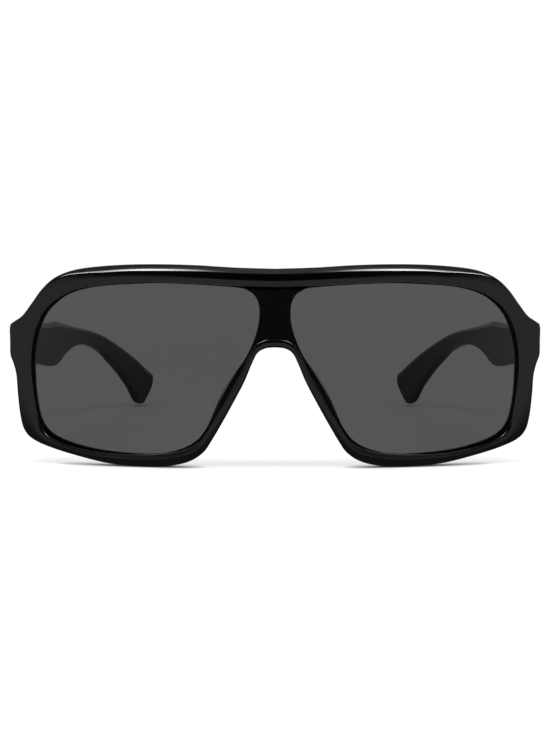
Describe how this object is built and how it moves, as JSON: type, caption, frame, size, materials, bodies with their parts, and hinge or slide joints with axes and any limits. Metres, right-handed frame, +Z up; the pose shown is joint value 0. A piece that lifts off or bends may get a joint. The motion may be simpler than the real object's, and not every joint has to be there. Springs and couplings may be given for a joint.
{
  "type": "oversized sunglasses",
  "caption": "Oversized wraparound sunglasses: glossy black moulded front with integral nose pads, one-piece grey shield lens and folding black arms on steel barrel hinges.",
  "frame": {"origin": "centre of the bounding box in X and Y, on the surface that the lower rims and the ear tips stand on", "axes": "+X to the wearer's left, -Y the way the wearer looks, +Y back along the arms, +Z up"},
  "size_m": [0.151, 0.1502, 0.0567],
  "materials": {
    "black_moulding": "polished injection moulding, gloss black",
    "grey_lens": "polished, solid neutral grey tint",
    "hinge_steel": "tumbled stainless steel",
    "screw_steel": "turned stainless steel"
  },
  "bodies": {
    "front": {"front_frame": "black_moulding", "shield_lens": "grey_lens", "left_front_hinge_leaf": "hinge_steel", "right_front_hinge_leaf": "hinge_steel", "left_hinge_screw": "screw_steel", "right_hinge_screw": "screw_steel", "left_front_leaf_screws": "screw_steel", "right_front_leaf_screws": "screw_steel"},
    "left_arm": {"left_temple": "black_moulding", "left_temple_hinge_leaf": "hinge_steel", "left_temple_leaf_screws": "screw_steel"},
    "right_arm": {"right_temple": "black_moulding", "right_temple_hinge_leaf": "hinge_steel", "right_temple_leaf_screws": "screw_steel"}
  },
  "joints": [
    {"name": "left_arm_fold", "type": "hinge", "parent": "front", "child": "left_arm", "pos_m": [0.06975, -0.05698, 0.03391], "axis": [0, 0, 1], "range_deg": [0, 81]},
    {"name": "right_arm_fold", "type": "hinge", "parent": "front", "child": "right_arm", "pos_m": [-0.06975, -0.05698, 0.03391], "axis": [0, 0, -1], "range_deg": [0, 72]}
  ]
}
